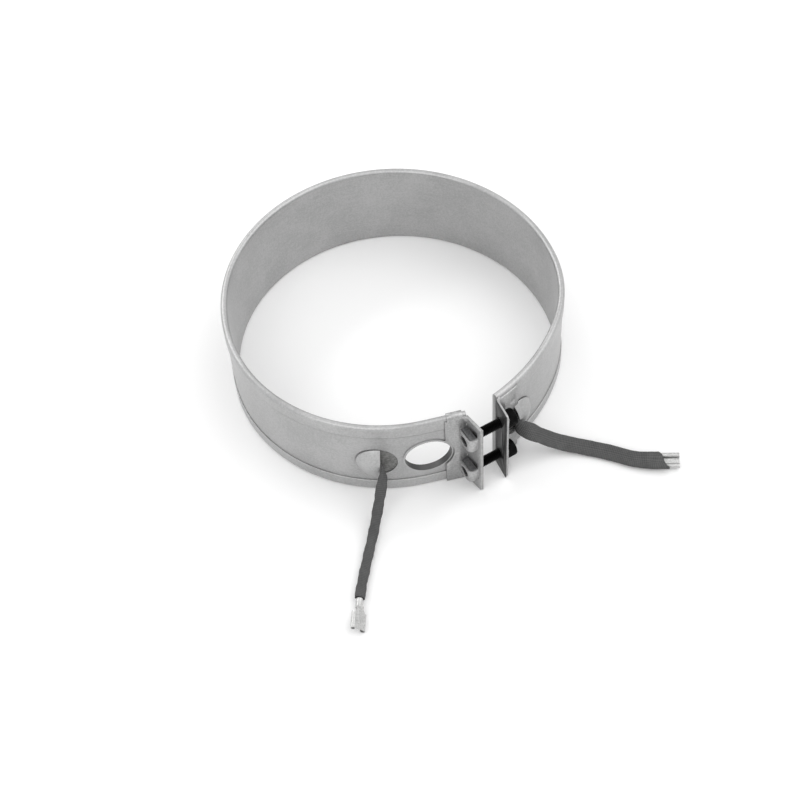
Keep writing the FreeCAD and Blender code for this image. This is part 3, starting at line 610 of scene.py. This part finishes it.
def lead_line(side):
    """Points of a lead's line: a NURBS spline on the route's points, out of the blister's mouth and down."""
    middle, along, out = station(side)
    start = [middle + along * a + out * LEAD_DEPTH + np.array([0, 0, LEAD_Z]) for a in (TAG_START, TURN_OUT)]
    route = np.array(start + [np.array(p) for p in ROUTES[side]])
    curve = bpy.data.curves.new("line", "CURVE")
    curve.dimensions = "3D"
    curve.resolution_u = 24
    spline = curve.splines.new("NURBS")
    spline.points.add(len(route) - 1)
    spline.points.foreach_set("co", np.hstack([route, np.ones((len(route), 1))]).ravel())
    spline.order_u = 3
    spline.use_endpoint_u = True
    holder = bpy.data.objects.new("line", curve)
    scene.collection.objects.link(holder)
    bpy.context.view_layer.update()
    mesh = bpy.data.meshes.new_from_object(holder.evaluated_get(bpy.context.evaluated_depsgraph_get()))
    line = np.zeros(len(mesh.vertices) * 3)
    mesh.vertices.foreach_get("co", line)
    bpy.data.objects.remove(holder)
    bpy.data.meshes.remove(mesh)
    return line.reshape(-1, 3)


def resampled(line, spacing):
    length = np.concatenate([[0], np.cumsum(np.linalg.norm(np.diff(line, axis=0), axis=1))])
    s = np.linspace(0, length[-1], int(round(length[-1] / spacing)) + 1)
    return np.stack([np.interp(s, length, line[:, k]) for k in range(3)], -1), s


def sleeve(side, keys, start, past, slant, waves):
    """Braided tube: a rounded section carried along the lead's line. Keys give (fraction of the length,
    wide direction, width, thickness, squareness, lift); slant cuts its end askew, waves swell its width."""
    line, s = resampled(lead_line(side), 0.5)
    ahead = (line[-1] - line[-3]) / np.linalg.norm(line[-1] - line[-3])
    if past > 0:
        line = np.concatenate([line, line[-1] + ahead * np.arange(0.5, past, 0.5)[:, None]])
    line, s = resampled(line, 0.5)
    kept = (s >= start) & (s <= s[-1] + min(past, 0))
    line, s = line[kept], s[kept] - s[kept][0]
    ahead = np.gradient(line, axis=0)
    ahead /= np.linalg.norm(ahead, axis=1)[:, None]
    f = s / s[-1]
    table = np.array([(key[0], *key[1], *key[2:]) for key in keys])
    values = np.stack([np.interp(f, table[:, 0], column) for column in table.T[1:]], -1)
    wide, (width, thick, square, lift) = values[:, :3], values[:, 3:].T[..., None]
    wide -= (wide * ahead).sum(1)[:, None] * ahead
    wide /= np.linalg.norm(wide, axis=1)[:, None]
    flat = np.cross(ahead, wide)
    around = np.linspace(0, 2 * math.pi, 49)[None, :-1]
    wave = 1 + waves * (np.sin(s * 0.6 + 1) + 0.5 * np.sin(s * 1.45))[:, None]
    a = width / 2 * wave * np.sign(np.cos(around)) * np.abs(np.cos(around)) ** square
    b = thick / 2 * np.sign(np.sin(around)) * np.abs(np.sin(around)) ** square
    points = line[:, None] + a[..., None] * wide[:, None] + b[..., None] * flat[:, None]
    points[..., 2] += lift
    last = np.clip((s - s[-1] + 9) / 9, 0, 1)[:, None] ** 2
    points += (slant * last * np.cos(around))[..., None] * ahead[:, None]
    u = np.broadcast_to(around / (2 * math.pi), points.shape[:2])
    v = np.broadcast_to(s[:, None] / 10, points.shape[:2])
    made = piece(f"{side}_sleeve", points, grid_faces(len(s), 48, close_columns=True), "sleeve", uv=np.stack([u, v], -1))
    thicken(made, 0.4)
    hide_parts(f"{side}_lead_sleeve", f"{side}_lead_wire")
    metres = (line - (0, 0, BASE)) / 1000


LEFT_KEYS = ((0.0, (0.0, 0.0, -1.0), 8.4, 2.4, 0.9, 0.5), (0.05, (0.1, -0.1, -1.0), 7.6, 2.6, 0.9, 0.4),
             (0.13, (0.45, -0.35, -0.8), 5.8, 3.0, 0.9, 0.1), (0.25, (0.6, -0.45, -0.6), 5.2, 3.4, 0.9, 0.0),
             (0.6, (0.66, -0.5, -0.5), 4.8, 3.5, 0.9, 0.0), (1.0, (0.7, -0.5, -0.45), 4.9, 3.4, 0.85, 0.0))
RIGHT_KEYS = ((0.0, (0.0, 0.0, -1.0), 8.8, 2.4, 0.9, -0.6), (0.08, (-0.2, -0.4, -0.9), 8.6, 2.6, 0.9, -0.5),
              (0.2, (-0.4, -0.75, -0.5), 8.0, 2.7, 0.85, 0.0), (0.5, (-0.54, -0.75, -0.3), 7.8, 2.8, 0.8, 0.0),
              (0.8, (-0.54, -0.75, -0.2), 8.0, 3.6, 0.85, 0.0), (0.9, (-0.54, -0.75, -0.15), 8.6, 4.3, 0.8, 0.2),
              (1.0, (-0.54, -0.75, -0.1), 9.0, 3.5, 0.5, 0.0))
sleeve("left", LEFT_KEYS, 5.0, -4.5, 0.0, 0.06)
sleeve("right", RIGHT_KEYS, 5.0, 4.2, 2.6, 0.012)
sheath()
cover()


sheath_end("right_end", 0.0, 1)
sheath_end("left_end", LENGTH, -1)
for side in SCREW_HEIGHTS:
    screw(side)


# ------------------------------------------------------------------ finishes on the carried-over parts

for name, node in NODES.items():
    node.data.materials.clear()
    node.data.materials.append(FINISH_OVERRIDES_AND_PAINTED_SHADE.get(name, FINISHES[slots[name]]))
for name in ("left_bracket", "right_bracket", "left_backing_plate", "right_backing_plate"):
    softened(name, 0.12)
